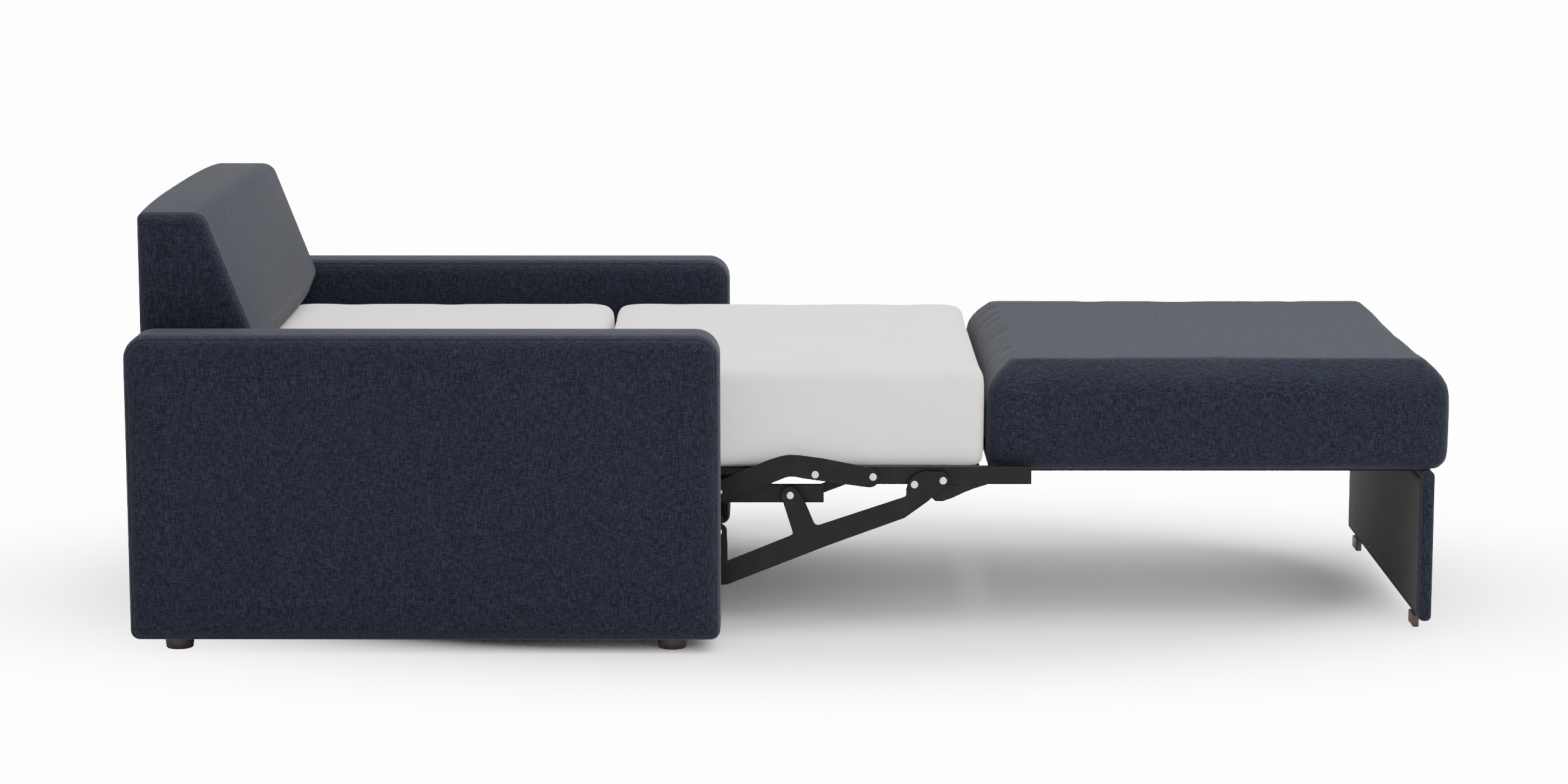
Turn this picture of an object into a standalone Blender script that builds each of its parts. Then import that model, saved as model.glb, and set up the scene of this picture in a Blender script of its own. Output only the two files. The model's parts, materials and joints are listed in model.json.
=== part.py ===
"""Futon sofa bed, drawn open as a bed.

Metres, +Z up. X is across, with the sitter's right at -X. The foot end of the bed and the sofa's
front face -Y. The origin is on the floor under the middle of the object's box.
"""

from math import atan2, cos, pi, radians, sin, tan

import bmesh
import bpy

# Overall sizes
HALF_LENGTH = 1.093  # back panel to foot end, halved
ARM_DEPTH = 0.970
ARM_TOP = 0.527
ARM_THICK = 0.120
BACK_TOP = 0.722
FOOT_HEIGHT = 0.020
BED_TOP = 0.455
SEAT_TOP = 0.460

# Upholstery
ARM_ROUND = 0.022
CUSHION_HALF = 0.404
FOAM_HALF = CUSHION_HALF - 0.006
CUSHION_ROUND = 0.034
SEAT_DECK_HALF = CUSHION_HALF - 0.074
MATTRESS_ROUND = 0.014
SECTION_LENGTH = 0.650  # middle section, front to back
SEAT_LENGTH = 0.7755
HEAD_LENGTH = 0.614
BACK_TOP_DEPTH = 0.090
BACK_RAKE = radians(21)
BACK_UNDER = 0.465  # height of the backrest's underside
BACK_FOOT_DEPTH = 0.186
BACK_NOSE = 0.205
PANEL_THICK = 0.022
PANEL_SETBACK = 0.025  # the seat cushion overhangs the leg panel
BACK_PANEL_THICK = 0.015

# Gaps
TOUCH = 0.0003
SECTION_GAP = 0.0015
SIDE_GAP = 0.0015
HOLE_PLAY = 0.0004

# Steel across the width, each size measured outwards from the centre line
MIDDLE_LINK_THICK, HEAD_LINK_THICK = 0.005, 0.005
LINK_SPACE = 0.002
RAIL_IN = CUSHION_HALF + SIDE_GAP
MIDDLE_LINK_IN = RAIL_IN - 0.0015 - MIDDLE_LINK_THICK
HEAD_LINK_IN = MIDDLE_LINK_IN - LINK_SPACE - HEAD_LINK_THICK
MIDDLE_DECK_HALF = HEAD_LINK_IN - 0.0015  # passes between the head section's links
CARRIAGE_RAIL_WIDE = 0.010
SEAT_RAIL_WIDE = 0.015
GUSSET_THICK = 0.004
UPPER_LINK_THICK = 0.003
LOWER_ARM_THICK = 0.003
LAYER_GAP = 0.0007
HEAD_PROUD = 0.0017  # how far a rivet's head stands out
SEAT_RAIL_OUT = RAIL_IN + SEAT_RAIL_WIDE
CARRIAGE_RAIL_OUT = RAIL_IN + CARRIAGE_RAIL_WIDE
UPPER_LINK_IN = SEAT_RAIL_OUT + LAYER_GAP
UPPER_LINK_OUT = UPPER_LINK_IN + UPPER_LINK_THICK
LOWER_ARM_IN = UPPER_LINK_OUT + LAYER_GAP
LOWER_ARM_OUT = LOWER_ARM_IN + LOWER_ARM_THICK
BAY_HALF = LOWER_ARM_OUT + 0.0041  # centre to an arm's inner face; clears the rivets' heads

# Heights of the steel
CARRIAGE_RAIL_LOW, CARRIAGE_RAIL_HIGH = 0.228, 0.259
SEAT_RAIL_LOW, SEAT_RAIL_HIGH = 0.260, 0.290
TRACK_HIGH = CARRIAGE_RAIL_LOW - 0.0015
TRACK_TALL = 0.0215
BASE_LOW, BASE_HIGH = 0.022, 0.040
DECK_THICK = 0.010
MATTRESS_LOW = 0.281
CUSHION_LOW = 0.278
HEAD_DECK_LOW, HEAD_DECK_HIGH = 0.2505, 0.2655

# Places along the length, as distances forward of the middle section's reference line
FORWARD_ZERO = 0.007
MIDDLE_FRONT = 0.3236
MIDDLE_REAR = MIDDLE_FRONT - SECTION_LENGTH
CARRIAGE_FRONT = 0.0548
CARRIAGE_LENGTH = 0.400
SEAT_RAIL_FRONT = 0.400
SEAT_RAIL_LENGTH = 0.280

# Linkage pivots, as (forward, height)
ARM_PIVOT = (-0.0016, 0.2425)
LINK_PIVOT = (-0.1180, 0.2480)
LINK_LENGTH, LINK_ANGLE = 0.2555, radians(5.64)
SPUR_RIVET = (-0.1210, 0.1810)
CROWN_RIVET = (0.0400, 0.2770)
ELBOW_RIVET = (0.2050, 0.2610)
MIDDLE_SWING, MIDDLE_SWING_ANGLE = 0.090, radians(21)
MIDDLE_PIVOTS = (0.035, MIDDLE_REAR + 0.0764)
MIDDLE_PIVOT_HEIGHT = 0.2435
HEAD_SWING, HEAD_SWING_ANGLE = 0.110, radians(55.4)
HEAD_PIVOTS = (MIDDLE_REAR - 0.0736, MIDDLE_REAR - 0.5236)
HEAD_PIVOT_HEIGHT = 0.1670

RIVET_SHANK = 0.0038
RIVET_HEAD = 0.0062
STUB = 0.0040
LINK_HALF = 0.0080
FOOT_RADIUS = 0.025
POST_WIDE = 0.030
LEG_FOOT_WIDE, LEG_FOOT_DEEP = 0.050, 0.011
PANEL_LOW = 0.022
LEG_FOOT_INSET = 0.060
ROUND_STEPS = 16

SIDES = {"right": -1, "left": 1}


def y_of(forward):
    return FORWARD_ZERO - forward


def tip(pivot, length, angle):
    """The far end of a link that leaves its pivot at this angle above forward."""
    return (pivot[0] + length * cos(angle), pivot[1] + length * sin(angle))


SEAT_PIVOT = tip(ARM_PIVOT, LINK_LENGTH, LINK_ANGLE)
LINK_SEAT_PIVOT = tip(LINK_PIVOT, LINK_LENGTH, LINK_ANGLE)
REAR = -(HALF_LENGTH - FORWARD_ZERO)  # forward value of the back


def clear_scene():
    for obj in list(bpy.data.objects):
        bpy.data.objects.remove(obj, do_unlink=True)


def material(name, colour, roughness, metallic=0.0):
    made = bpy.data.materials.new(name)
    made.use_nodes = True
    shader = made.node_tree.nodes["Principled BSDF"]
    shader.inputs["Base Color"].default_value = (*colour, 1.0)
    shader.inputs["Roughness"].default_value = roughness
    shader.inputs["Metallic"].default_value = metallic
    return made


def finish_mesh(name, shape, finish, origin=(0.0, 0.0, 0.0)):
    """Turns a bmesh in world places into an object whose origin is at the given point."""
    bmesh.ops.recalc_face_normals(shape, faces=shape.faces[:])
    bmesh.ops.translate(shape, verts=shape.verts[:], vec=[-c for c in origin])
    mesh = bpy.data.meshes.new(name)
    shape.to_mesh(mesh)
    shape.free()
    mesh.materials.append(finish)
    mesh.shade_smooth()
    mesh.set_sharp_from_angle(angle=radians(35))
    obj = bpy.data.objects.new(name, mesh)
    obj.location = origin
    bpy.context.scene.collection.objects.link(obj)
    return obj


def prism(outline, x_low, x_high):
    """A bmesh with this (forward, height) outline, between two planes across the width."""
    shape = bmesh.new()
    near = [shape.verts.new((x_low, y_of(f), z)) for f, z in outline]
    far = [shape.verts.new((x_high, y_of(f), z)) for f, z in outline]
    shape.faces.new(near)
    shape.faces.new(far[::-1])
    for i in range(len(outline)):
        j = (i + 1) % len(outline)
        shape.faces.new((near[i], far[i], far[j], near[j]))
    return shape


def across(side, inner, outer):
    """The two X planes of a piece on one side, lowest first."""
    return sorted((side * inner, side * outer))


def rectangle(rear, front, low, high):
    return [(rear, low), (front, low), (front, high), (rear, high)]


def bevelled(obj, width, segments):
    """Scale is 1 on every object, so the width is true."""
    bevel = obj.modifiers.new("Rounding", "BEVEL")
    bevel.width = width
    bevel.segments = segments
    bevel.limit_method = "ANGLE"
    bevel.angle_limit = radians(50)
    return obj


def bar(name, xs, fs, zs, finish, rounding=0.0, segments=1):
    shape = prism(rectangle(fs[0], fs[1], zs[0], zs[1]), xs[0], xs[1])
    obj = finish_mesh(name, shape, finish)
    return bevelled(obj, rounding, segments) if rounding else obj


def circle_at(centre, radius, start=0.0, sweep=2 * pi, steps=ROUND_STEPS):
    """Points on an arc; a full turn leaves out its last point."""
    last = steps if abs(sweep) >= 2 * pi - 1e-9 else steps + 1
    turns = [start + sweep * i / steps for i in range(last)]
    return [(centre[0] + radius * cos(turn), centre[1] + radius * sin(turn)) for turn in turns]


def capsule(a, b, half):
    """The outline of a straight link with round ends."""
    heading = atan2(b[1] - a[1], b[0] - a[0])
    front = circle_at(b, half, heading - pi / 2, pi, 8)
    return front + circle_at(a, half, heading + pi / 2, pi, 8)


def helper_cylinder(name, xs, centre, radius):
    """A hidden round bar across the width, for a Boolean."""
    obj = finish_mesh(name, prism(circle_at(centre, radius), xs[0], xs[1]), STEEL)
    obj.hide_render = True
    obj.display_type = "WIRE"
    return obj


def combine(obj, helper, operation):
    cut = obj.modifiers.new(operation.title(), "BOOLEAN")
    cut.operation = operation
    cut.solver = "EXACT"
    cut.object = helper


def drill(obj, xs, centre, radius):
    through = (xs[0] - 0.002, xs[1] + 0.002)
    combine(obj, helper_cylinder(obj.name + "_drill", through, centre, radius), "DIFFERENCE")


def stub(obj, side, root, end, centre):
    """A round pin that grows out of a piece; root lies inside the piece."""
    combine(obj, helper_cylinder(obj.name + "_pin", across(side, root, end), centre, STUB), "UNION")


def link(name, side, inner, thick, pivot, length, angle):
    """A straight swing link with a hole at each end, and its origin on its fixed pivot."""
    far = tip(pivot, length, angle)
    xs = across(side, inner, inner + thick)
    origin = (0.0, y_of(pivot[0]), pivot[1])
    obj = finish_mesh(name, prism(capsule(pivot, far, LINK_HALF), *xs), STEEL, origin)
    for centre in (pivot, far):
        drill(obj, xs, centre, STUB + HOLE_PLAY)
    return obj


def rivet(name, side, inner, plate_out, centre):
    """A shank from inner to a plate's outer face, and a domed head over the plate."""
    under = plate_out + TOUCH
    stations = [(inner, RIVET_SHANK), (under, RIVET_SHANK), (under, RIVET_HEAD)]
    for step in (1, 2, 3):
        turn = step * pi / 2 / 3.6
        stations.append((under + HEAD_PROUD * sin(turn), RIVET_HEAD * cos(turn)))
    shape = bmesh.new()
    rings = []
    for out, radius in stations:
        ring = [shape.verts.new((side * out, y_of(f), z)) for f, z in circle_at(centre, radius)]
        rings.append(ring)
    for near, far in zip(rings, rings[1:]):
        for i in range(ROUND_STEPS):
            j = (i + 1) % ROUND_STEPS
            shape.faces.new((near[i], near[j], far[j], far[i]))
    shape.faces.new(rings[0])
    shape.faces.new(rings[-1])
    return finish_mesh(name, shape, RIVET, (0.0, y_of(centre[0]), centre[1]))


def build_arms():
    arm_rear, arm_front = REAR, REAR + ARM_DEPTH
    for word, side in SIDES.items():
        xs = across(side, BAY_HALF, BAY_HALF + ARM_THICK)
        zs = (FOOT_HEIGHT + TOUCH, ARM_TOP)
        bar(f"{word}_arm", xs, (arm_rear, arm_front), zs, FABRIC, ARM_ROUND, 3)
        middle = side * (BAY_HALF + ARM_THICK / 2)
        for place, forward in (("rear", arm_rear + 0.075), ("front", arm_front - 0.080)):
            shape = bmesh.new()
            radii = {"radius1": FOOT_RADIUS * 0.92, "radius2": FOOT_RADIUS}
            bmesh.ops.create_cone(shape, cap_ends=True, segments=24, depth=FOOT_HEIGHT, **radii)
            bmesh.ops.translate(shape, verts=shape.verts[:], vec=(middle, y_of(forward), FOOT_HEIGHT / 2))
            finish_mesh(f"{word}_{place}_foot", shape, FOOT)


def backrest_outline():
    """Flat rear, a short top, a raked front and a rounded nose over the mattress."""
    top_front = REAR + 0.004 + BACK_TOP_DEPTH
    nose_height = BACK_UNDER + 0.045
    nose = REAR + BACK_NOSE
    rise = BACK_TOP - 0.012 - nose_height
    points = [(REAR + 0.001, BACK_UNDER), (REAR + BACK_FOOT_DEPTH, BACK_UNDER)]
    points += [(nose - 0.006, BACK_UNDER + 0.014), (nose, nose_height - 0.012), (nose - 0.002, nose_height + 0.010)]
    points += [(nose - rise * tan(BACK_RAKE) + 0.012, BACK_TOP - 0.030)]
    points += [(top_front, BACK_TOP - 0.008), (top_front - BACK_TOP_DEPTH / 2, BACK_TOP)]
    points += [(REAR + 0.012, BACK_TOP - 0.008), (REAR + 0.001, BACK_TOP - 0.028)]
    return points


def build_back():
    half = BAY_HALF - SIDE_GAP
    obj = finish_mesh("backrest", prism(backrest_outline(), -half, half), FABRIC)
    bevelled(obj, 0.012, 2)
    fs = (REAR, REAR + BACK_PANEL_THICK)
    bar("back_panel", (-half, half), fs, (0.030, BACK_UNDER - SIDE_GAP), FABRIC, 0.003, 1)


def build_base():
    rail_rear = REAR + BACK_PANEL_THICK + 0.004
    rail_front = REAR + ARM_DEPTH - 0.014
    for word, side in SIDES.items():
        inner = across(side, RAIL_IN, SEAT_RAIL_OUT)
        bar(f"{word}_track", inner, (rail_rear, rail_front), (TRACK_HIGH - TRACK_TALL, TRACK_HIGH), STEEL)
        wide = across(side, RAIL_IN, BAY_HALF - TOUCH)
        bar(f"{word}_base_rail", wide, (rail_rear, rail_front), (BASE_LOW, BASE_HIGH), STEEL)
        for place, forward in zip(("front", "rear"), HEAD_PIVOTS):
            fs = (forward - POST_WIDE / 2, forward + POST_WIDE / 2)
            zs = (BASE_HIGH + TOUCH, TRACK_HIGH - TRACK_TALL - TOUCH)
            post = bar(f"{word}_{place}_post", inner, fs, zs, STEEL)
            stub(post, side, RAIL_IN + 0.003, HEAD_LINK_IN - 0.0002, (forward, HEAD_PIVOT_HEIGHT))
    ends = RAIL_IN - TOUCH
    bar("rear_base_tube", (-ends, ends), (rail_rear, rail_rear + 0.022), (BASE_LOW, BASE_HIGH), STEEL, 0.003, 2)


def build_carriage():
    rear = CARRIAGE_FRONT - CARRIAGE_LENGTH
    for word, side in SIDES.items():
        xs = across(side, RAIL_IN, CARRIAGE_RAIL_OUT)
        zs = (CARRIAGE_RAIL_LOW, CARRIAGE_RAIL_HIGH)
        rail = bar(f"{word}_carriage_rail", xs, (rear, CARRIAGE_FRONT), zs, STEEL)
        for forward in MIDDLE_PIVOTS:
            stub(rail, side, RAIL_IN + 0.003, MIDDLE_LINK_IN - 0.0004, (forward, MIDDLE_PIVOT_HEIGHT))
        xs = across(side, CARRIAGE_RAIL_OUT + TOUCH, UPPER_LINK_OUT)
        pin = prism(circle_at(LINK_PIVOT, RIVET_SHANK), *xs)
        finish_mesh(f"{word}_link_pin", pin, RIVET)


def upper_link_outline():
    """An arched link: it rises from its hidden rear pivot to a crown, then runs down to the seat."""
    rear_end = circle_at(LINK_PIVOT, 0.0170, radians(112), radians(158), 10)
    front_end = circle_at((0.1305, 0.2718), 0.0168, radians(-96), radians(176), 10)
    under = [(-0.0400, 0.2592), (-0.0090, 0.2718), (-0.0020, 0.2733), (0.0060, 0.2731), (0.0200, 0.2703)]
    over = [(0.0540, 0.3043), (0.0140, 0.3098), (-0.0020, 0.3106), (-0.0160, 0.3086), (-0.0390, 0.3012)]
    return rear_end + under + front_end + over


def lower_arm_outline():
    """A forked plate: a hanging spur, a long bar to the seat pivot and a branch up to the arm pivot."""
    spur = SPUR_RIVET
    spur_end = circle_at(spur, 0.0150, radians(20), radians(140), 8)
    heel = [(spur[0] - 0.0145, 0.1000), (spur[0] - 0.0100, 0.0915), (spur[0] + 0.0020, 0.0905)]
    under = heel + [(-0.1048, 0.0920), (-0.0930, 0.0970), (0.0611, 0.1578), (0.1608, 0.1939), (0.1893, 0.2045)]
    seat_end = [(0.2290, 0.2333), (0.2412, 0.2455)]
    seat_end += circle_at((0.2492, 0.2694), 0.0134, radians(-32), radians(122), 8)
    shoulder = circle_at((0.2260, 0.2480), 0.0355, radians(80), radians(92), 6)
    bar_top = [(0.1912, 0.2440), (0.1890, 0.2408), (0.0500, 0.1940), (0.0450, 0.1926), (0.0412, 0.1936)]
    branch = [(0.0385, 0.1968), (0.0254, 0.2280), (0.0180, 0.2408)]
    branch += circle_at(ARM_PIVOT, 0.0148, radians(42), radians(153), 10)
    crotch = [(0.0028, 0.1800), (0.0022, 0.1768), (-0.0020, 0.1743)]
    inner = [(-0.1058, 0.1316), (-0.1058, 0.1620)]
    return under + seat_end + shoulder + bar_top + branch + crotch + inner + spur_end


def plate(name, side, inner, thick, outline, holes, origin):
    xs = across(side, inner, inner + thick)
    obj = finish_mesh(name, prism(outline, *xs), STEEL, (0.0, y_of(origin[0]), origin[1]))
    for centre in holes:
        drill(obj, xs, centre, RIVET_SHANK + HOLE_PLAY)
    return obj


def build_linkage():
    for word, side in SIDES.items():
        arm_holes = (ARM_PIVOT, SEAT_PIVOT, SPUR_RIVET, ELBOW_RIVET)
        plate(f"{word}_lower_arm", side, LOWER_ARM_IN, LOWER_ARM_THICK, lower_arm_outline(), arm_holes, ARM_PIVOT)
        link_holes = (LINK_PIVOT, LINK_SEAT_PIVOT, CROWN_RIVET)
        outline = upper_link_outline()
        plate(f"{word}_upper_link", side, UPPER_LINK_IN, UPPER_LINK_THICK, outline, link_holes, LINK_PIVOT)
        rivet(f"{word}_arm_pivot_rivet", side, CARRIAGE_RAIL_OUT + TOUCH, LOWER_ARM_OUT, ARM_PIVOT)
        rivet(f"{word}_seat_pivot_rivet", side, SEAT_RAIL_OUT + TOUCH, LOWER_ARM_OUT, SEAT_PIVOT)
        rivet(f"{word}_link_seat_rivet", side, SEAT_RAIL_OUT + TOUCH, UPPER_LINK_OUT, LINK_SEAT_PIVOT)
        rivet(f"{word}_crown_rivet", side, UPPER_LINK_IN, UPPER_LINK_OUT, CROWN_RIVET)
        rivet(f"{word}_elbow_rivet", side, LOWER_ARM_IN, LOWER_ARM_OUT, ELBOW_RIVET)
        rivet(f"{word}_spur_rivet", side, LOWER_ARM_IN, LOWER_ARM_OUT, SPUR_RIVET)


def gusset_outline():
    top = SEAT_RAIL_LOW - TOUCH
    lip = [(0.229, top), (0.233, 0.2380), (0.240, 0.2315), (0.252, 0.2310)]
    return lip + [(0.268, 0.2365), (0.288, 0.2460), (0.304, 0.2525), (SEAT_RAIL_FRONT - 0.073, top)]


def build_seat():
    rear = MIDDLE_FRONT + SECTION_GAP / 2
    front = rear + SEAT_LENGTH
    panel_front = front - PANEL_SETBACK
    panel_rear = panel_front - PANEL_THICK
    for word, side in SIDES.items():
        xs = across(side, RAIL_IN, SEAT_RAIL_OUT)
        fs = (SEAT_RAIL_FRONT - SEAT_RAIL_LENGTH, SEAT_RAIL_FRONT)
        bar(f"{word}_seat_rail", xs, fs, (SEAT_RAIL_LOW, SEAT_RAIL_HIGH), STEEL)
        plate_xs = across(side, SEAT_RAIL_OUT - GUSSET_THICK, SEAT_RAIL_OUT)
        finish_mesh(f"{word}_gusset", prism(gusset_outline(), *plate_xs), STEEL)
        out = CUSHION_HALF - LEG_FOOT_INSET
        fs, zs = (panel_rear, panel_rear + LEG_FOOT_DEEP), (0.0, PANEL_LOW - TOUCH)
        bar(f"{word}_leg_foot", across(side, out - LEG_FOOT_WIDE, out), fs, zs, WOOD, 0.002, 1)
    xs = (-CUSHION_HALF, CUSHION_HALF)
    cushion = bar("seat_cushion", xs, (rear, front), (CUSHION_LOW, SEAT_TOP), FABRIC)
    bevelled(cushion, CUSHION_ROUND, 4)
    xs, zs = (-SEAT_DECK_HALF, SEAT_DECK_HALF), (HEAD_DECK_HIGH + 0.001, CUSHION_LOW - TOUCH)
    bar("seat_deck", xs, (rear + 0.010, panel_rear - TOUCH), zs, DARK)
    xs = (-CUSHION_HALF, CUSHION_HALF)
    zs = (PANEL_LOW, CUSHION_LOW - TOUCH)
    bar("leg_panel", xs, (panel_rear, panel_front), zs, FABRIC, 0.004, 2)


def swing_section(word, deck_zs, deck_half, fs, links, mattress_low):
    """A deck that hangs between swing links, with its mattress on top."""
    pivots, height, length, angle, link_in, thick = links
    deck = bar(f"{word}_deck", (-deck_half, deck_half), (fs[0] + 0.006, fs[1] - 0.006), deck_zs, DARK)
    for place, forward in zip(("front", "rear"), pivots):
        pivot = (forward, height)
        for side_word, side in SIDES.items():
            link(f"{side_word}_{word}_{place}_link", side, link_in, thick, pivot, length, angle)
            stub(deck, side, deck_half - 0.003, link_in + thick, tip(pivot, length, angle))
    xs = (-FOAM_HALF, FOAM_HALF)
    bar(f"{word}_mattress", xs, fs, (mattress_low, BED_TOP), MATTRESS, MATTRESS_ROUND, 3)


def build_sections():
    middle = (MIDDLE_REAR, MIDDLE_FRONT - SECTION_GAP / 2)
    links = (MIDDLE_PIVOTS, MIDDLE_PIVOT_HEIGHT, MIDDLE_SWING, MIDDLE_SWING_ANGLE)
    links += (MIDDLE_LINK_IN, MIDDLE_LINK_THICK)
    low = MATTRESS_LOW
    swing_section("middle", (low - DECK_THICK, low - TOUCH), MIDDLE_DECK_HALF, middle, links, low)
    head_front = MIDDLE_REAR - SECTION_GAP
    head = (head_front - HEAD_LENGTH, head_front)
    links = (HEAD_PIVOTS, HEAD_PIVOT_HEIGHT, HEAD_SWING, pi - HEAD_SWING_ANGLE)
    links += (HEAD_LINK_IN, HEAD_LINK_THICK)
    zs = (HEAD_DECK_LOW, HEAD_DECK_HIGH)
    swing_section("head", zs, HEAD_LINK_IN - 0.0007, head, links, HEAD_DECK_HIGH + TOUCH)


clear_scene()
FABRIC = material("navy_fabric", (0.022, 0.030, 0.062), 0.9)
MATTRESS = material("mattress_fabric", (0.66, 0.64, 0.60), 0.9)
STEEL = material("black_steel", (0.020, 0.020, 0.022), 0.42, 0.6)
RIVET = material("rivet_steel", (0.55, 0.56, 0.58), 0.35, 0.9)
WOOD = material("brown_wood", (0.16, 0.075, 0.035), 0.6)
FOOT = material("foot_plastic", (0.030, 0.020, 0.016), 0.5)
DARK = material("deck_board", (0.025, 0.025, 0.028), 0.85)
build_arms()
build_back()
build_base()
build_carriage()
build_linkage()
build_seat()
build_sections()
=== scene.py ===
"""Looks of the futon sofa bed: upholstery, mattresses, steel linkage and small parts."""

import json
from math import cos, pi, radians, sin, tan

import bmesh
import bpy
from mathutils import Matrix, Vector


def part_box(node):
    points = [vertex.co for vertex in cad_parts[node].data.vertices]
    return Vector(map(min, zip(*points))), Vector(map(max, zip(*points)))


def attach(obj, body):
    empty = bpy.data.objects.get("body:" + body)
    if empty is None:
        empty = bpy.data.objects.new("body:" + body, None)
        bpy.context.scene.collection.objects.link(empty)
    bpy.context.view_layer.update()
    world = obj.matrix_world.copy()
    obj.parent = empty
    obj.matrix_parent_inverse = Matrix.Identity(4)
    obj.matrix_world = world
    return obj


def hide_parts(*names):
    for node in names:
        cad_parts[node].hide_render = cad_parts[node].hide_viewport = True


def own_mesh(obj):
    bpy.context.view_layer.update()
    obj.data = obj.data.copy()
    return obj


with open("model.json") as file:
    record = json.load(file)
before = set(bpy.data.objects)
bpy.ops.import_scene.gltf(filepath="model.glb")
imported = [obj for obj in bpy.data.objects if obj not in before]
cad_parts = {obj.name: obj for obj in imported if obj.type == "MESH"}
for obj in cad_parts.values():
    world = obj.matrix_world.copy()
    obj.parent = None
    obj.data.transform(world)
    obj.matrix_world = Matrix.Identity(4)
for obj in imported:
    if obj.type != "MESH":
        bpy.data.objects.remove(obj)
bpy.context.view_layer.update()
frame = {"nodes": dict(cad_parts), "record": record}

bl_info = {
    "name": "Futon Sofa Bed",
    "version": (1, 0, 0),
    "blender": (4, 5, 0),
    "location": "View3D > Sidebar > Sofa Bed",
    "description": "Builds the upholstery, mattresses, linkage and studio of a futon sofa bed",
    "category": "Object",
}

SIDES = {"right": -1, "left": 1}
CORNER_STEPS = 8
FACE_CROWN = ((0.060, 1.0), (0.025, 0.55), (0.008, 0.18))  # reach inside the rounding, share of the crown
ARM_CROWN = 0.0025  # how much fuller an arm is at mid-face
SEAM_GROOVE = 0.0022, 0.0008  # half width at the mouth and at the bottom
MATTRESS_ROUNDING = 0.012, 0.016, 0.008  # top, upright and bottom edges
SEAT_ROUNDING = 0.048, 0.022, 0.012
RIVET_SIZES = {"Head Radius": 0.0062, "Head Height": 0.0019, "Shank Radius": 0.0036, "Shank": 0.004}


class UpholsterySizes(bpy.types.PropertyGroup):
    navy: bpy.props.FloatVectorProperty(
        name="Navy", description="Ground colour of the woven cover", subtype="COLOR",
        default=(0.0022, 0.0028, 0.0058),
    )
    fleck: bpy.props.FloatVectorProperty(
        name="Fleck", description="Colour of the lighter threads", subtype="COLOR",
        default=(0.0120, 0.0140, 0.0235),
    )
    arm_round: bpy.props.FloatProperty(
        name="Arm Rounding", description="Radius of an arm's padded edges", default=0.026,
        unit="LENGTH",
    )
    arm_corner: bpy.props.FloatProperty(
        name="Arm Corner", description="Radius of an arm's top corners seen from the side",
        default=0.040, unit="LENGTH",
    )
    seam_depth: bpy.props.FloatProperty(
        name="Seam Depth", description="How deep a seam pulls into the padding", default=0.0016,
        unit="LENGTH",
    )
    back_lip: bpy.props.FloatProperty(
        name="Back Lip", description="Height of the backrest's rounded front edge", default=0.045,
        unit="LENGTH",
    )
    back_rake: bpy.props.FloatProperty(
        name="Back Rake", description="Lean of the backrest in degrees", default=21.0,
    )
    lining: bpy.props.FloatVectorProperty(
        name="Lining", description="Colour of the dust cover cloth", subtype="COLOR",
        default=(0.003, 0.003, 0.0035),
    )


class BeddingSizes(bpy.types.PropertyGroup):
    ticking: bpy.props.FloatVectorProperty(
        name="Ticking", description="Colour of the mattress cover", subtype="COLOR",
        default=(0.560, 0.543, 0.520),
    )
    mattress_swell: bpy.props.FloatProperty(
        name="Mattress Swell", description="Most that a mattress face may puff out", default=0.008,
        unit="LENGTH",
    )
    seat_swell: bpy.props.FloatProperty(
        name="Seat Swell", description="Most that a seat face may puff out", default=0.024,
        unit="LENGTH",
    )
    voxel: bpy.props.FloatProperty(
        name="Cloth Grid", description="Spacing of the cloth before it is smoothed", default=0.010,
        unit="LENGTH",
    )


class SteelSizes(bpy.types.PropertyGroup):
    powder_coat: bpy.props.FloatVectorProperty(
        name="Powder Coat", description="Colour of the coated steel", subtype="COLOR",
        default=(0.0030, 0.0030, 0.0034),
    )
    zinc: bpy.props.FloatVectorProperty(
        name="Zinc", description="Colour of the rivets", subtype="COLOR", default=(0.62, 0.63, 0.65)
    )
    edge: bpy.props.FloatProperty(
        name="Edge Break", description="Rounding of the plates' cut edges", default=0.0005,
        unit="LENGTH",
    )


# ---------------------------------------------------------------- materials


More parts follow.
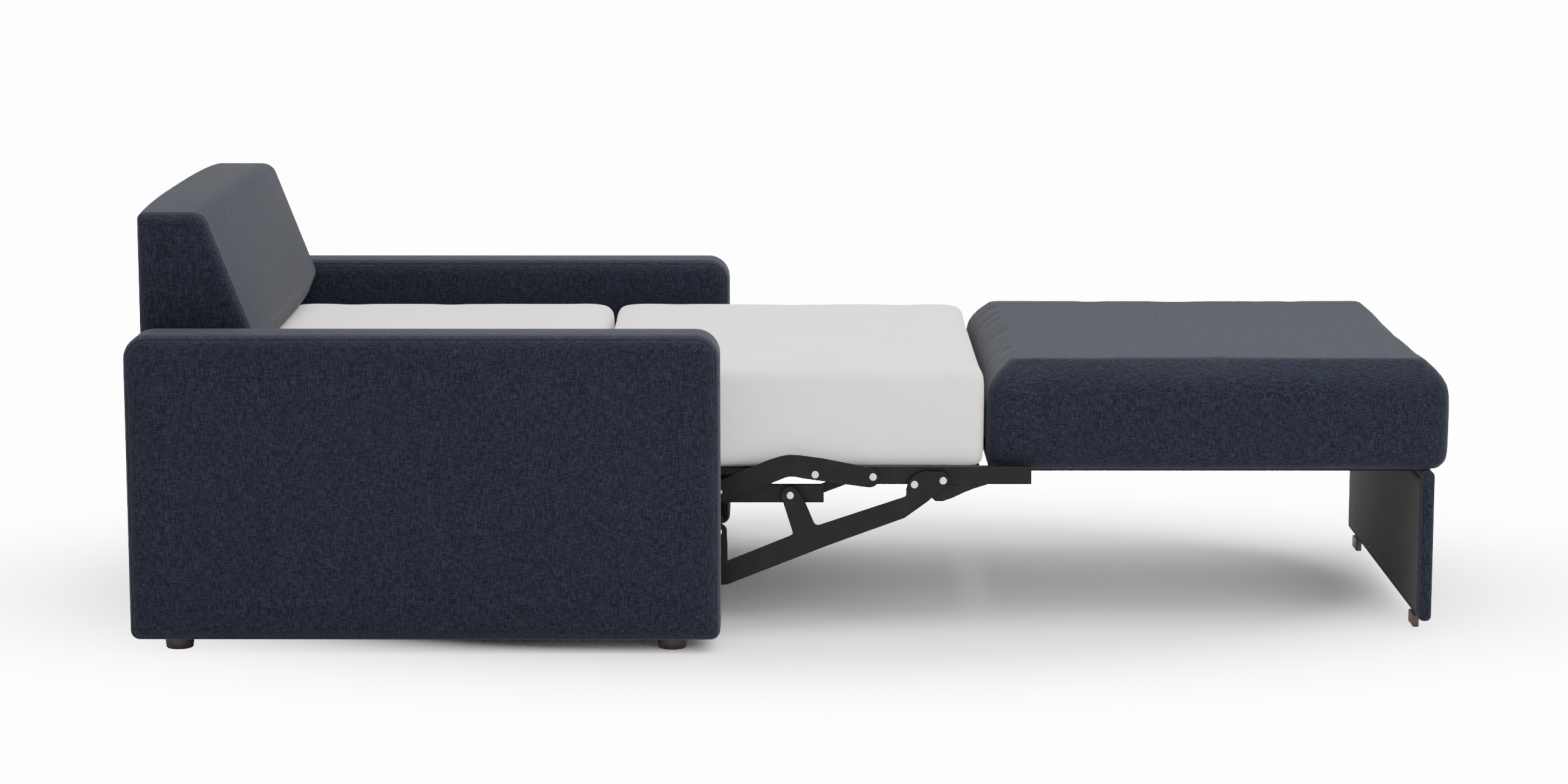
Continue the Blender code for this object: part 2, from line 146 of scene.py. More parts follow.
class Recipe:
    """A node tree under construction, with short calls for the nodes that the finishes share."""

    def __init__(self, name, colour, roughness, metallic=0.0):
        self.material = bpy.data.materials.new(name)
        self.material.use_nodes = True
        self.tree = self.material.node_tree
        self.shader = self.tree.nodes["Principled BSDF"]
        self.shader.inputs["Base Color"].default_value = (*colour, 1.0)
        self.shader.inputs["Roughness"].default_value = roughness
        self.shader.inputs["Metallic"].default_value = metallic
        self.place = self.tree.nodes.new("ShaderNodeTexCoord").outputs["Object"]

    def join(self, source, node, socket):
        self.tree.links.new(source, node.inputs[socket])

    def noise(self, scale, detail=2.0, stretch=(1.0, 1.0, 1.0)):
        mapping = self.tree.nodes.new("ShaderNodeMapping")
        mapping.inputs["Scale"].default_value = stretch
        self.join(self.place, mapping, "Vector")
        node = self.tree.nodes.new("ShaderNodeTexNoise")
        node.inputs["Scale"].default_value = scale
        node.inputs["Detail"].default_value = detail
        self.join(mapping.outputs["Vector"], node, "Vector")
        return node.outputs["Fac"]

    def math(self, operation, first, second):
        node = self.tree.nodes.new("ShaderNodeMath")
        node.operation = operation
        for index, value in enumerate((first, second)):
            if isinstance(value, float):
                node.inputs[index].default_value = value
            else:
                self.tree.links.new(value, node.inputs[index])
        return node.outputs["Value"]

    def ramp(self, source, low, high, first, second):
        node = self.tree.nodes.new("ShaderNodeValToRGB")
        node.color_ramp.elements[0].position = low
        node.color_ramp.elements[1].position = high
        node.color_ramp.elements[0].color = (*first, 1.0)
        node.color_ramp.elements[1].color = (*second, 1.0)
        self.join(source, node, "Fac")
        return node.outputs["Color"]

    def colour(self, source):
        self.join(source, self.shader, "Base Color")

    def bump(self, source, distance, strength=1.0):
        node = self.tree.nodes.new("ShaderNodeBump")
        node.inputs["Distance"].default_value = distance
        node.inputs["Strength"].default_value = strength
        self.join(source, node, "Height")
        self.join(node.outputs["Normal"], self.shader, "Normal")

    def uneven_roughness(self, source, low, high):
        node = self.tree.nodes.new("ShaderNodeMapRange")
        node.inputs["To Min"].default_value = low
        node.inputs["To Max"].default_value = high
        self.join(source, node, "Value")
        self.join(node.outputs["Result"], self.shader, "Roughness")


def woven_navy(sizes):
    """A plain weave with slubs: warp threads upright and across, weft along the length."""
    recipe = Recipe("woven_navy", sizes.navy, 0.95)
    warp = recipe.noise(900.0, 1.0, (1.0, 1.0, 0.10))
    weft = recipe.noise(900.0, 1.0, (1.0, 0.10, 1.0))
    grain = recipe.noise(620.0, 2.0)
    threads = recipe.math("ADD", recipe.math("MULTIPLY", warp, 0.42), recipe.math("MULTIPLY", weft, 0.34))
    cloth = recipe.math("ADD", threads, recipe.math("MULTIPLY", grain, 0.24))
    recipe.colour(recipe.ramp(cloth, 0.44, 0.60, sizes.navy, sizes.fleck))
    recipe.bump(cloth, 0.0011, 1.0)
    recipe.shader.inputs["Sheen Weight"].default_value = 0.05
    recipe.shader.inputs["Sheen Roughness"].default_value = 0.5
    recipe.shader.inputs["Specular IOR Level"].default_value = 0.10
    return recipe.material


def mattress_ticking(sizes):
    recipe = Recipe("mattress_ticking", sizes.ticking, 0.95)
    fine = recipe.noise(700.0, 2.0)
    soft = recipe.noise(9.0, 3.0)
    mixed = recipe.math("ADD", recipe.math("MULTIPLY", fine, 0.55), recipe.math("MULTIPLY", soft, 0.45))
    darker = tuple(channel * 0.90 for channel in sizes.ticking)
    recipe.colour(recipe.ramp(mixed, 0.35, 0.65, darker, sizes.ticking))
    recipe.bump(fine, 0.0005, 0.5)
    recipe.shader.inputs["Sheen Weight"].default_value = 0.15
    return recipe.material


def dust_cover(sizes):
    recipe = Recipe("dust_cover", sizes.lining, 0.97)
    fibres = recipe.noise(450.0, 3.0)
    lighter = tuple(channel * 2.2 for channel in sizes.lining)
    recipe.colour(recipe.ramp(fibres, 0.35, 0.70, sizes.lining, lighter))
    recipe.bump(fibres, 0.0004, 0.6)
    return recipe.material


def powder_coat(sizes):
    recipe = Recipe("powder_coat", sizes.powder_coat, 0.50)
    orange_peel = recipe.noise(380.0, 1.0)
    rub = recipe.noise(26.0, 4.0)
    worn = tuple(channel * 2.0 for channel in sizes.powder_coat)
    recipe.colour(recipe.ramp(rub, 0.45, 0.80, sizes.powder_coat, worn))
    recipe.uneven_roughness(rub, 0.42, 0.58)
    recipe.shader.inputs["Specular IOR Level"].default_value = 0.12
    recipe.bump(orange_peel, 0.0002, 0.45)
    return recipe.material


def zinc_rivet(sizes):
    recipe = Recipe("zinc_rivet", sizes.zinc, 0.36, 0.85)
    smear = recipe.noise(160.0, 4.0)
    duller = tuple(channel * 0.72 for channel in sizes.zinc)
    recipe.colour(recipe.ramp(smear, 0.35, 0.70, duller, sizes.zinc))
    recipe.uneven_roughness(smear, 0.28, 0.50)
    return recipe.material


def stained_wood(name, dark, light, rough):
    recipe = Recipe(name, dark, rough)
    grain = recipe.noise(90.0, 4.0, (1.0, 1.0, 0.12))
    pores = recipe.noise(520.0, 2.0, (1.0, 1.0, 0.08))
    recipe.colour(recipe.ramp(grain, 0.36, 0.68, dark, light))
    recipe.bump(pores, 0.0003, 0.5)
    recipe.uneven_roughness(grain, rough - 0.08, rough + 0.10)
    return recipe.material


def studio_floor():
    """White paper that glows to the camera away from the object, so that only its shadow shows."""
    recipe = Recipe("studio_floor", (0.90, 0.90, 0.90), 0.90)
    tree = recipe.tree
    squeeze = tree.nodes.new("ShaderNodeMapping")
    squeeze.inputs["Scale"].default_value = (1.6, 0.9, 1.0)
    recipe.join(recipe.place, squeeze, "Vector")
    reach = tree.nodes.new("ShaderNodeVectorMath")
    reach.operation = "LENGTH"
    recipe.join(squeeze.outputs["Vector"], reach, "Vector")
    glow = tree.nodes.new("ShaderNodeMapRange")
    glow.interpolation_type = "SMOOTHSTEP"
    glow.inputs["From Min"].default_value = 0.85
    glow.inputs["From Max"].default_value = 1.75
    glow.inputs["To Max"].default_value = 12.0
    recipe.join(reach.outputs["Value"], glow, "Value")
    seen = tree.nodes.new("ShaderNodeLightPath").outputs["Is Camera Ray"]
    recipe.join(recipe.math("MULTIPLY", glow.outputs["Result"], seen), recipe.shader, "Emission Strength")
    recipe.shader.inputs["Emission Color"].default_value = (1.0, 1.0, 1.0, 1.0)
    return recipe.material


FINISHES = {}


def make_finishes(scene):
    cover, bedding, steel = scene.upholstery_sizes, scene.bedding_sizes, scene.steel_sizes
    FINISHES["navy_fabric"] = woven_navy(cover)
    FINISHES["lining"] = dust_cover(cover)
    FINISHES["mattress_fabric"] = mattress_ticking(bedding)
    FINISHES["black_steel"] = powder_coat(steel)
    FINISHES["rivet_steel"] = zinc_rivet(steel)
    FINISHES["brown_wood"] = stained_wood("brown_wood", (0.020, 0.010, 0.006), (0.055, 0.028, 0.016), 0.60)
    FINISHES["foot_plastic"] = stained_wood("dark_foot", (0.012, 0.007, 0.005), (0.030, 0.018, 0.013), 0.45)


# ---------------------------------------------------------------- mesh helpers


def mesh_object(name, shape, finish, smooth_angle=40.0):
    """Turns a bmesh in world places into a smooth object; edges sharper than the angle stay crisp."""
    bmesh.ops.recalc_face_normals(shape, faces=shape.faces[:])
    mesh = bpy.data.meshes.new(name)
    shape.to_mesh(mesh)
    shape.free()
    mesh.materials.append(FINISHES[finish])
    mesh.shade_smooth()
    if smooth_angle < 180.0:
        mesh.set_sharp_from_angle(angle=radians(smooth_angle))
    obj = bpy.data.objects.new(name, mesh)
    bpy.context.scene.collection.objects.link(obj)
    return obj


def settle(piece, body, slot, *nodes):
    """Hands a finished piece to its CAD body."""
    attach(piece, body)
    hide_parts(*nodes)
    return piece


def node_body(node):
    for body, nodes in frame["record"]["behaviour"]["bodies"].items():
        if node in nodes:
            return body
    raise ValueError(f"no body holds {node}")


def loft(rings):
    """A closed body through rings of equally many points, with flat caps."""
    shape = bmesh.new()
    loops = [[shape.verts.new(point) for point in ring] for ring in rings]
    count = len(loops[0])
    for near, far in zip(loops, loops[1:]):
        for i in range(count):
            j = (i + 1) % count
            shape.faces.new((near[i], near[j], far[j], far[i]))
    for ring in (loops[0], loops[-1]):
        shape.faces.new(ring)
    return shape


def round_outline(corners, radii, inset, steps=CORNER_STEPS, straight=6):
    """Points round a convex outline whose sides are moved in by inset and whose corners are arcs."""
    count = len(corners)
    sides = []
    for i in range(count):
        a, b = Vector(corners[i]), Vector(corners[(i + 1) % count])
        along = (b - a).normalized()
        inward = Vector((-along.y, along.x))
        sides.append((a + inward * inset, along, inward))
    arcs = []
    for i in range(count):
        before, after = sides[i - 1], sides[i]
        radius = max(radii[i] - inset, 0.0015)
        # the arc's centre is the radius inside both of its sides
        normal_a, normal_b = before[2], after[2]
        cross = normal_a.x * normal_b.y - normal_a.y * normal_b.x
        reach_a = before[0].dot(normal_a) + radius
        reach_b = after[0].dot(normal_b) + radius
        across = reach_a * normal_b.y - reach_b * normal_a.y
        upward = normal_a.x * reach_b - normal_b.x * reach_a
        centre = Vector((across, upward))
        turn = normal_a.angle(normal_b)
        spokes = [Matrix.Rotation(turn * step / steps, 2) @ -normal_a for step in range(steps + 1)]
        arcs.append([centre / cross + spoke * radius for spoke in spokes])
    points = []
    for i in range(count):
        points += arcs[i]
        start, end = arcs[i][-1], arcs[(i + 1) % count][0]
        points += [start.lerp(end, k / straight) for k in range(1, straight)]
    return points


def edge_stations(half, rounding, seams, depth, steps=7):
    """(place across the width, inset of the outline) from one face to the other, with seam grooves."""
    profile = []
    for step in range(steps + 1):
        turn = pi / 2 * step / steps
        profile.append((-half + rounding * (1 - sin(turn)), rounding * (1 - cos(turn))))
    profile.reverse()
    for seam in seams:
        widened = list(profile)
        mouth, bottom = SEAM_GROOVE
        for offset, sink in ((-mouth, 0.0), (-bottom, depth), (bottom, depth), (mouth, 0.0)):
            place = -half + seam + offset
            near = max(0.0, rounding - (place + half))
            inset = rounding - (rounding**2 - near**2) ** 0.5
            widened.append((place, inset + sink))
        profile = sorted(widened)
    mirrored = [(-place, inset) for place, inset in reversed(profile)]
    return profile + mirrored


def padded_panel(name, corners, radii, middle, half, rounding, seams, depth, crown):
    """An upholstered panel: an outline in (y, z), padded through its thickness in x."""
    rings = []
    stations = edge_stations(half, rounding, seams, depth)
    rise = [(rounding + reach, crown * share) for reach, share in FACE_CROWN]
    rings += [(middle - half - lift, inset) for inset, lift in rise]
    rings += [(middle + place, inset) for place, inset in stations]
    rings += [(middle + half + lift, inset) for inset, lift in reversed(rise)]
    body = [[(x, p.x, p.y) for p in round_outline(corners, radii, inset)] for x, inset in rings]
    return mesh_object(name, loft(body), "navy_fabric", 60.0)


# ---------------------------------------------------------------- upholstery


def build_arm(word, side, sizes):
    low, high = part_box(f"{word}_arm")
    corners = [(low.y, low.z), (high.y, low.z), (high.y, high.z), (low.y, high.z)]
    radii = [0.016, 0.016, sizes.arm_corner, sizes.arm_corner]
    middle = (low.x + high.x) / 2
    crown = ARM_CROWN
    half = (high.x - low.x) / 2 - crown / 2
    seams = (0.0085,)
    arm = padded_panel(
        f"{word}_arm_cover", corners, radii, middle, half, sizes.arm_round, seams, sizes.seam_depth, crown / 2
    )
    settle(arm, "sofa_body", "navy_fabric", f"{word}_arm")


def build_backrest(sizes):
    """A wedge with a flat rear and a raked front, fuller in the middle of its width."""
    low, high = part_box("backrest")
    nose = low.y
    lower = low.z + sizes.back_lip
    shoulder = nose + (high.z - lower) * tan(radians(sizes.back_rake))
    corners = [(high.y, low.z), (high.y, high.z), (min(shoulder, high.y - 0.080), high.z)]
    corners += [(nose, lower), (nose + 0.018, low.z)]
    radii = [0.006, 0.020, 0.036, 0.030, 0.010]
    fullness = 0.008
    stations = edge_stations(high.x, 0.018, (0.016,), sizes.seam_depth)
    left = [(place, inset + fullness) for place, inset in stations if place < 0]
    edge, steps = left[-1][0], 24
    swell = []
    for step in range(1, steps):
        place = edge * (1 - 2 * step / steps)
        swell.append((place, fullness * abs(place / edge) ** 3))
    right = [(-place, inset) for place, inset in reversed(left)]
    rings = []
    for place, inset in left + swell + right:
        rings.append([(place, p.x, p.y) for p in round_outline(corners, radii, inset)])
    back = mesh_object("backrest_cover", loft(rings), "navy_fabric", 60.0)
    settle(back, "sofa_body", "navy_fabric", "backrest")


def build_back_panel():
    low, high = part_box("back_panel")
    flat_slab("back_panel_cover", low, high, 0.004, "navy_fabric", "sofa_body", "back_panel")


def flat_slab(name, low, high, rounding, finish, body, node):
    shape = bmesh.new()
    bmesh.ops.create_cube(shape, size=1.0)
    size, centre = high - low, (high + low) / 2
    for vert in shape.verts:
        vert.co = Vector(vert.co[i] * size[i] + centre[i] for i in range(3))
    bmesh.ops.bevel(shape, geom=shape.edges[:], offset=rounding, segments=4, profile=0.5, affect="EDGES")
    piece = mesh_object(name, shape, finish, 50.0)
    slot = frame_slot(node)
    return settle(piece, body, slot, node)


def frame_slot(node):
    for entry in frame["record"]["subparts"]:
        if entry["node"] == node:
            return entry["material_slot"]
    raise ValueError(f"no slot for {node}")


def build_leg_panel():
    """Woven cover on the outer face and the edges, with a dust cover let into the inner face."""
    low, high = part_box("leg_panel")
    flat_slab("leg_panel_cover", low, high, 0.009, "navy_fabric", "seat_section", "leg_panel")
    border = 0.014
    inner_low = Vector((low.x + border, high.y - 0.0002, low.z + border))
    inner_high = Vector((high.x - border, high.y + 0.0006, high.z - border))
    shape = bmesh.new()
    bmesh.ops.create_grid(shape, x_segments=60, y_segments=20, size=0.5)
    for vert in shape.verts:
        x, z = vert.co.x + 0.5, vert.co.y + 0.5
        tuck = 0.0004 * sin(x * 47 * pi) * (1 - sin(pi * z)) ** 2
        vert.co = (
            inner_low.x + x * (inner_high.x - inner_low.x),
            inner_high.y + tuck,
            inner_low.z + z * (inner_high.z - inner_low.z),
        )
    lining = mesh_object("leg_panel_lining", shape, "lining")
    wall = lining.modifiers.new("Thickness", "SOLIDIFY")
    wall.thickness = 0.0008
    wall.offset = 0.0
    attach(lining, "seat_section")


# ---------------------------------------------------------------- bedding


def foam_shape(low, high, top, upright, bottom):
    """A block with its own rounding on the top edges, the upright edges and the bottom edges."""
    corners = [(low.x, low.y), (high.x, low.y), (high.x, high.y), (low.x, high.y)]
    levels = []
    for step in range(7):
        turn = pi / 2 * step / 6
        levels.append((low.z + bottom * (1 - sin(turn)), bottom * (1 - cos(turn))))
    levels.reverse()  # from the flat underside up
    for step in range(9):
        turn = pi / 2 * step / 8
        levels.append((high.z - top * (1 - sin(turn)), top * (1 - cos(turn))))
    rings = []
    for height, inset in levels:
        outline = round_outline(corners, [upright + inset] * 4, inset)
        rings.append([(p.x, p.y, height) for p in outline])
    return loft(rings)


def puffed_block(name, low, high, start, rounding, cap, finish, grid):
    """A foam block blown up by cloth pressure from a shape smaller by start, then held to its box."""
    inner_low = low + Vector((start, start, 0.001))
    inner_high = high - Vector((start, start, start))
    pad = mesh_object(name, foam_shape(inner_low, inner_high, *rounding), finish, 180.0)
    remesh = pad.modifiers.new("Grid", "REMESH")
    remesh.mode = "VOXEL"
    remesh.voxel_size = grid
    remesh.use_smooth_shade = True
    bake(pad)
    blow_up(pad, cap)
    relax = pad.modifiers.new("Relax", "SMOOTH")
    relax.iterations = 12
    bake(pad)
    hold_to_box(pad, low, high)
    subdivide = pad.modifiers.new("Smooth", "SUBSURF")
    subdivide.levels = 1
    subdivide.render_levels = 1
    bake(pad)
    return pad


def bake(piece):
    """Turns the piece's modifiers into its own mesh."""
    graph = bpy.context.evaluated_depsgraph_get()
    mesh = bpy.data.meshes.new_from_object(piece.evaluated_get(graph))
    piece.modifiers.clear()
    piece.data = mesh
    mesh.shade_smooth()


def blow_up(pad, cap):
    rest = [vert.co.copy() for vert in pad.data.vertices]
    cloth = pad.modifiers.new("Cloth", "CLOTH")
    cloth.settings.use_pressure = True
    cloth.settings.uniform_pressure_force = 4.0
    cloth.settings.tension_stiffness = 15.0
    cloth.settings.compression_stiffness = 15.0
    cloth.settings.effector_weights.gravity = 0.0
    scene = bpy.context.scene
    for number in range(1, 21):
        scene.frame_set(number)
    graph = bpy.context.evaluated_depsgraph_get()
    blown = pad.evaluated_get(graph).to_mesh()
    moved = [vert.co.copy() for vert in blown.vertices]
    pad.evaluated_get(graph).to_mesh_clear()
    pad.modifiers.clear()
    scene.frame_set(1)
    for vert, start, end in zip(pad.data.vertices, rest, moved):
        step = end - start
        if step.length > cap:
            step *= cap / step.length
        vert.co = start + step


def hold_to_box(pad, low, high):
    """Draws the foam out to its length and width, and presses it flat where it meets its deck."""
    points = [vert.co for vert in pad.data.vertices]
    for axis in (0, 1):
        least, most = min(p[axis] for p in points), max(p[axis] for p in points)
        for point in points:
            point[axis] = low[axis] + (point[axis] - least) * (high[axis] - low[axis]) / (most - least)
    for vert in pad.data.vertices:
        vert.co.x = min(max(vert.co.x, low.x), high.x)
        vert.co.y = min(max(vert.co.y, low.y), high.y)
        vert.co.z = min(max(vert.co.z, low.z), high.z + 0.003)


def build_mattress(word, sizes):
    node = f"{word}_mattress"
    low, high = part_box(node)
    rounding = MATTRESS_ROUNDING
    pad = puffed_block(
        f"{node}_pad", low, high, 0.004, rounding, sizes.mattress_swell, "mattress_fabric", sizes.voxel
    )
    settle(pad, f"{word}_section", "mattress_fabric", node)
    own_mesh(pad)


def build_seat(sizes):
    low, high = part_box("seat_cushion")
    rounding = SEAT_ROUNDING
    pad = puffed_block(
        "seat_cushion_pad", low, high, 0.008, rounding, sizes.seat_swell, "navy_fabric", sizes.voxel
    )
    settle(pad, "seat_section", "navy_fabric", "seat_cushion")


# ---------------------------------------------------------------- steel and small parts


def refine_steel(node, edge):
    """The CAD solid with its triangles merged to clean faces and its cut edges broken."""
    source = frame["nodes"][node]
    shape = bmesh.new()
    shape.from_mesh(source.data)
    bmesh.ops.remove_doubles(shape, verts=shape.verts[:], dist=0.00001)
    bmesh.ops.dissolve_limit(shape, angle_limit=radians(0.5), verts=shape.verts[:], edges=shape.edges[:])
    piece = mesh_object(f"{node}_finished", shape, "black_steel", 30.0)
    bevel = piece.modifiers.new("Edge", "BEVEL")
    bevel.width = edge
    bevel.segments = 2
    bevel.limit_method = "ANGLE"
    bevel.angle_limit = radians(60)
    settle(piece, node_body(node), frame_slot(node), node)


def lathe(name, profile, centre, finish, steps=48):
    """A body turned about an upright axis; the profile is (radius, height) from the bottom up."""
    shape = bmesh.new()
    rings = []
    for radius, height in profile:
        ring = []
        for step in range(steps):
            turn = 2 * pi * step / steps
            x, y = centre.x + radius * cos(turn), centre.y + radius * sin(turn)
            ring.append(shape.verts.new((x, y, height)))
        rings.append(ring)
    for near, far in zip(rings, rings[1:]):
        for i in range(steps):
            j = (i + 1) % steps
            shape.faces.new((near[i], near[j], far[j], far[i]))
    shape.faces.new(rings[0])
    shape.faces.new(rings[-1])
    return mesh_object(name, shape, finish)


def build_foot(node):
    low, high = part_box(node)
    centre, radius = (low + high) / 2, (high.x - low.x) / 2
    profile = [(radius * 0.86, low.z), (radius * 0.90, low.z + 0.0012), (radius * 0.94, low.z + 0.010)]
    profile += [(radius * 0.985, high.z - 0.003), (radius, high.z - 0.0015), (radius * 0.99, high.z)]
    settle(lathe(f"{node}_turned", profile, centre, "foot_plastic"), "sofa_body", "foot_plastic", node)


def rivet_tree():
    """Geometry nodes that set a domed rivet on every point, laid over by the given turn."""
    tree = bpy.data.node_groups.new("Rivets", "GeometryNodeTree")
    tree.interface.new_socket("Geometry", in_out="INPUT", socket_type="NodeSocketGeometry")
    sizes = {}
    for name, value in RIVET_SIZES.items():
        socket = tree.interface.new_socket(name, in_out="INPUT", socket_type="NodeSocketFloat")
        socket.default_value = value
        sizes[name] = socket.identifier
    turn = tree.interface.new_socket("Turn", in_out="INPUT", socket_type="NodeSocketVector")
    sizes["Turn"] = turn.identifier
    finish = tree.interface.new_socket("Finish", in_out="INPUT", socket_type="NodeSocketMaterial")
    sizes["Finish"] = finish.identifier
    tree.interface.new_socket("Geometry", in_out="OUTPUT", socket_type="NodeSocketGeometry")
    nodes, links = tree.nodes, tree.links
    entry, leave = nodes.new("NodeGroupInput"), nodes.new("NodeGroupOutput")
    ball = nodes.new("GeometryNodeMeshUVSphere")
    ball.inputs["Segments"].default_value = 28
    ball.inputs["Rings"].default_value = 14
    ball.inputs["Radius"].default_value = 1.0
    flatten = nodes.new("GeometryNodeTransform")
    shape = nodes.new("ShaderNodeCombineXYZ")
    links.new(entry.outputs["Head Radius"], shape.inputs["X"])
    links.new(entry.outputs["Head Radius"], shape.inputs["Y"])
    links.new(entry.outputs["Head Height"], shape.inputs["Z"])
    links.new(ball.outputs["Mesh"], flatten.inputs["Geometry"])
    links.new(shape.outputs["Vector"], flatten.inputs["Scale"])
    shank = nodes.new("GeometryNodeMeshCylinder")
    shank.inputs["Vertices"].default_value = 24
    links.new(entry.outputs["Shank Radius"], shank.inputs["Radius"])
    links.new(entry.outputs["Shank"], shank.inputs["Depth"])
    drop = nodes.new("ShaderNodeCombineXYZ")
    half = nodes.new("ShaderNodeMath")
    half.operation = "MULTIPLY"
    half.inputs[1].default_value = -0.5
    links.new(entry.outputs["Shank"], half.inputs[0])
    links.new(half.outputs["Value"], drop.inputs["Z"])
    lower = nodes.new("GeometryNodeTransform")
    links.new(shank.outputs["Mesh"], lower.inputs["Geometry"])
    links.new(drop.outputs["Vector"], lower.inputs["Translation"])
    both = nodes.new("GeometryNodeJoinGeometry")
    links.new(flatten.outputs["Geometry"], both.inputs["Geometry"])
    links.new(lower.outputs["Geometry"], both.inputs["Geometry"])
    place = nodes.new("GeometryNodeInstanceOnPoints")
    links.new(entry.outputs["Geometry"], place.inputs["Points"])
    links.new(both.outputs["Geometry"], place.inputs["Instance"])
    links.new(entry.outputs["Turn"], place.inputs["Rotation"])
    realize = nodes.new("GeometryNodeRealizeInstances")
    links.new(place.outputs["Instances"], realize.inputs["Geometry"])
    smooth = nodes.new("GeometryNodeSetShadeSmooth")
    links.new(realize.outputs["Geometry"], smooth.inputs["Geometry"])
    paint = nodes.new("GeometryNodeSetMaterial")
    links.new(smooth.outputs["Geometry"], paint.inputs["Geometry"])
    links.new(entry.outputs["Finish"], paint.inputs["Material"])
    links.new(paint.outputs["Geometry"], leave.inputs["Geometry"])
    return tree, sizes


def build_rivets():
    """One mesh of rivets for each body and side, seated at the heads of the CAD rivets."""
    tree, sockets = rivet_tree()
    groups = {}
    for node in frame["nodes"]:
        if node.endswith("_rivet"):
            word = node.split("_")[0]
            groups.setdefault((word, node_body(node)), []).append(node)
    for (word, body), nodes in sorted(groups.items()):
        side = SIDES[word]
        seats = []
        for node in sorted(nodes):
            low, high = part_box(node)
            middle = (low + high) / 2
            outermost = high.x if side > 0 else low.x
            seats.append((outermost - side * RIVET_SIZES["Head Height"], middle.y, middle.z))
        marks = bpy.data.meshes.new("rivet_marks")
        marks.from_pydata(seats, [], [])
        piece = bpy.data.objects.new(f"{word}_{body}_rivets", marks)
        bpy.context.scene.collection.objects.link(piece)
        modifier = piece.modifiers.new("Rivets", "NODES")
        modifier.node_group = tree
        modifier[sockets["Turn"]] = (0.0, side * pi / 2, 0.0)
        modifier[sockets["Finish"]] = FINISHES["rivet_steel"]
        bake(piece)
        settle(piece, body, "rivet_steel", *nodes)


# ---------------------------------------------------------------- operators


class SOFABED_OT_finishes(bpy.types.Operator):
    """Make the cloth, steel and wood finishes"""

    bl_idname = "sofabed.finishes"
    bl_label = "Finishes"

    def execute(self, context):
        make_finishes(context.scene)
        return {"FINISHED"}


class SOFABED_OT_upholstery(bpy.types.Operator):
    """Build the arms, backrest, back panel and leg panel"""

    bl_idname = "sofabed.upholstery"
    bl_label = "Upholstery"

    def execute(self, context):
        sizes = context.scene.upholstery_sizes
        for word, side in SIDES.items():
            build_arm(word, side, sizes)
        build_backrest(sizes)
        build_back_panel()
        build_leg_panel()
        return {"FINISHED"}


class SOFABED_OT_bedding(bpy.types.Operator):
    """Build the two mattress sections and the seat cushion"""

    bl_idname = "sofabed.bedding"
    bl_label = "Bedding"

    def execute(self, context):
        sizes = context.scene.bedding_sizes
        build_mattress("head", sizes)
        build_mattress("middle", sizes)
        build_seat(sizes)
        return {"FINISHED"}


class SOFABED_OT_steelwork(bpy.types.Operator):
    """Finish the rails, plates and links"""

    bl_idname = "sofabed.steelwork"
    bl_label = "Steelwork"

    def execute(self, context):
        edge = context.scene.steel_sizes.edge
        for entry in frame["record"]["subparts"]:
            if entry["material_slot"] == "black_steel":
                refine_steel(entry["node"], edge)
        for node in [name for name in frame["nodes"] if name.endswith("_deck")]:
            frame["nodes"][node].data.materials.clear()
            frame["nodes"][node].data.materials.append(FINISHES["lining"])
        return {"FINISHED"}


class SOFABED_OT_rivets(bpy.types.Operator):
    """Set the rivets"""

    bl_idname = "sofabed.rivets"
    bl_label = "Rivets"

    def execute(self, context):
        build_rivets()
        for word in SIDES:
            pin = frame["nodes"][f"{word}_link_pin"]
            pin.data.materials.clear()
            pin.data.materials.append(FINISHES["rivet_steel"])
        return {"FINISHED"}


class SOFABED_OT_feet(bpy.types.Operator):
    """Build the turned feet and the wooden blocks under the leg panel"""

    bl_idname = "sofabed.feet"
    bl_label = "Feet"

    def execute(self, context):
        for word in SIDES:
            for place in ("front", "rear"):
                build_foot(f"{word}_{place}_foot")
            node = f"{word}_leg_foot"
            low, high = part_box(node)
            flat_slab(f"{node}_block", low, high, 0.0020, "brown_wood", "seat_section", node)
        return {"FINISHED"}


class SOFABED_OT_studio(bpy.types.Operator):
    """Set up the floor, the lights and the camera"""

    bl_idname = "sofabed.studio"
    bl_label = "Studio"

    def execute(self, context):
        build_floor()
        build_lights(context.scene)
        build_camera(context.scene)
        return {"FINISHED"}


def build_floor():
    shape = bmesh.new()
    bmesh.ops.create_grid(shape, x_segments=2, y_segments=2, size=40.0)
    FINISHES["floor"] = studio_floor()
    floor = mesh_object("studio_floor", shape, "floor")


def softbox(name, place, target, width, height, watts):
    data = bpy.data.lights.new(name, "AREA")
    data.shape = "RECTANGLE"
    data.size, data.size_y, data.energy = width, height, watts
    lamp = bpy.data.objects.new(name, data)
    lamp.location = place
    lamp.rotation_mode = "QUATERNION"
    lamp.rotation_quaternion = (Vector(target) - Vector(place)).to_track_quat("-Z", "Y")
    bpy.context.scene.collection.objects.link(lamp)


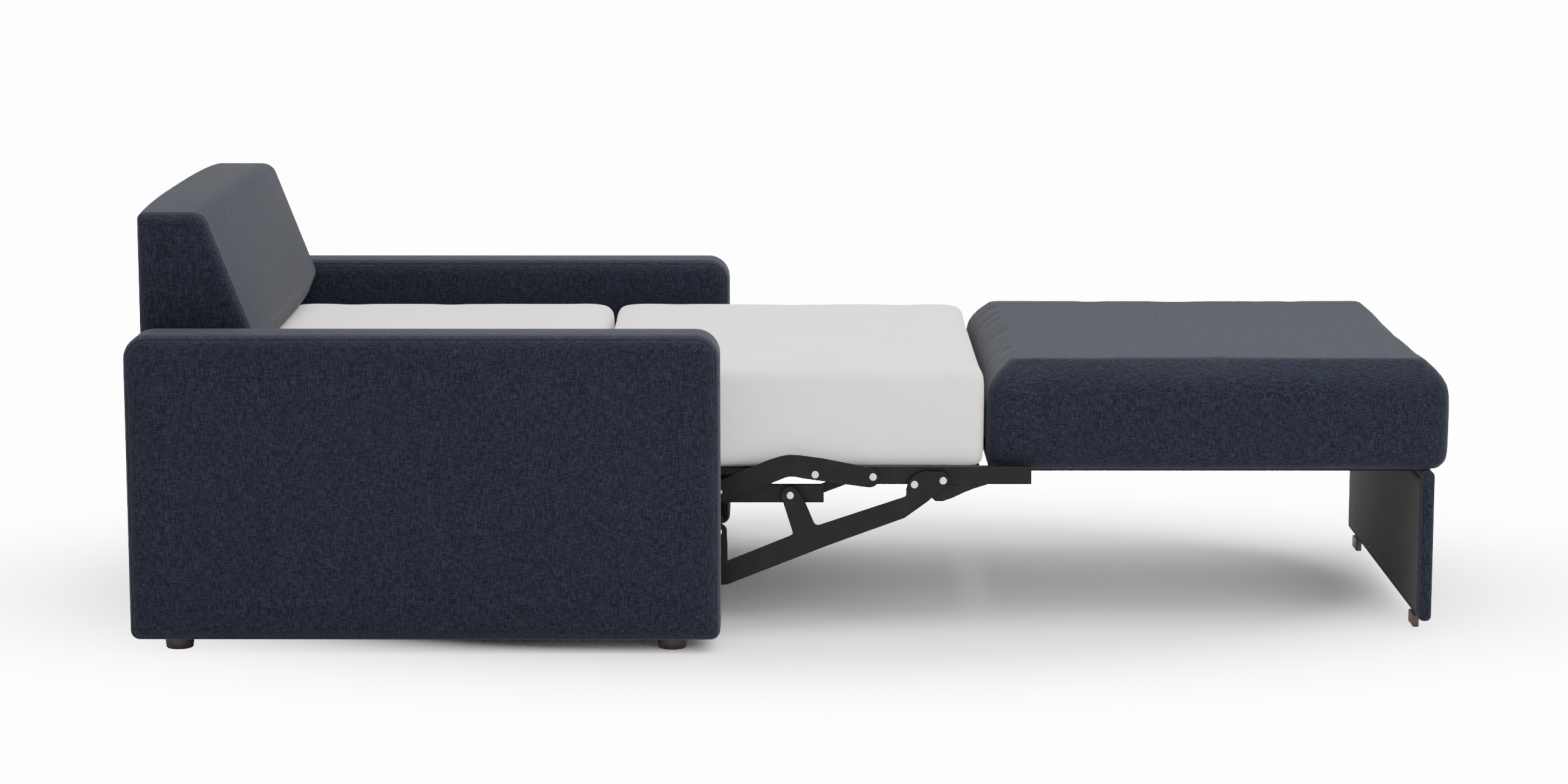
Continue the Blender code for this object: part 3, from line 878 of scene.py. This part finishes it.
def build_lights(scene):
    world = bpy.data.worlds.new("studio")
    world.use_nodes = True
    world.node_tree.nodes["Background"].inputs["Color"].default_value = (1.0, 1.0, 1.0, 1.0)
    world.node_tree.nodes["Background"].inputs["Strength"].default_value = 1.9
    scene.world = world
    softbox("overhead", (-0.6, -0.8, 3.6), (0.0, 0.0, 0.3), 4.0, 4.0, 320.0)
    softbox("front_fill", (-3.8, -2.6, 2.2), (0.0, 0.0, 0.35), 2.6, 2.0, 70.0)


def build_camera(scene):
    data = bpy.data.cameras.new("camera")
    data.lens, data.sensor_width = 85.0, 36.0
    data.clip_end = 200.0
    camera = bpy.data.objects.new("camera", data)
    camera.location = (-6.473, 0.007, 1.3927)
    camera.rotation_euler = (radians(80.83), 0.0, radians(-89.89))
    scene.collection.objects.link(camera)
    scene.camera = camera


class SOFABED_PT_panel(bpy.types.Panel):
    """The builder's steps in the order that they run"""

    bl_label = "Futon Sofa Bed"
    bl_idname = "SOFABED_PT_panel"
    bl_space_type = "VIEW_3D"
    bl_region_type = "UI"
    bl_category = "Sofa Bed"

    def draw(self, context):
        for sizes in (context.scene.upholstery_sizes, context.scene.bedding_sizes, context.scene.steel_sizes):
            box = self.layout.box()
            for name in sizes.bl_rna.properties.keys():
                if name not in ("rna_type", "name"):
                    box.prop(sizes, name)
        for step in STEPS:
            self.layout.operator(step.bl_idname)


STEPS = (
    SOFABED_OT_finishes,
    SOFABED_OT_studio,
    SOFABED_OT_upholstery,
    SOFABED_OT_bedding,
    SOFABED_OT_steelwork,
    SOFABED_OT_rivets,
    SOFABED_OT_feet,
)
GROUPS = {"upholstery_sizes": UpholsterySizes, "bedding_sizes": BeddingSizes, "steel_sizes": SteelSizes}


def register():
    for kind in (*GROUPS.values(), *STEPS, SOFABED_PT_panel):
        bpy.utils.register_class(kind)
    for name, kind in GROUPS.items():
        setattr(bpy.types.Scene, name, bpy.props.PointerProperty(type=kind))


def unregister():
    for name in GROUPS:
        delattr(bpy.types.Scene, name)
    for kind in (SOFABED_PT_panel, *STEPS[::-1], *GROUPS.values()):
        bpy.utils.unregister_class(kind)


def main():
    register()
    for step in STEPS:
        group, name = step.bl_idname.split(".")
        getattr(getattr(bpy.ops, group), name)()


if __name__ == "__main__":
    main()
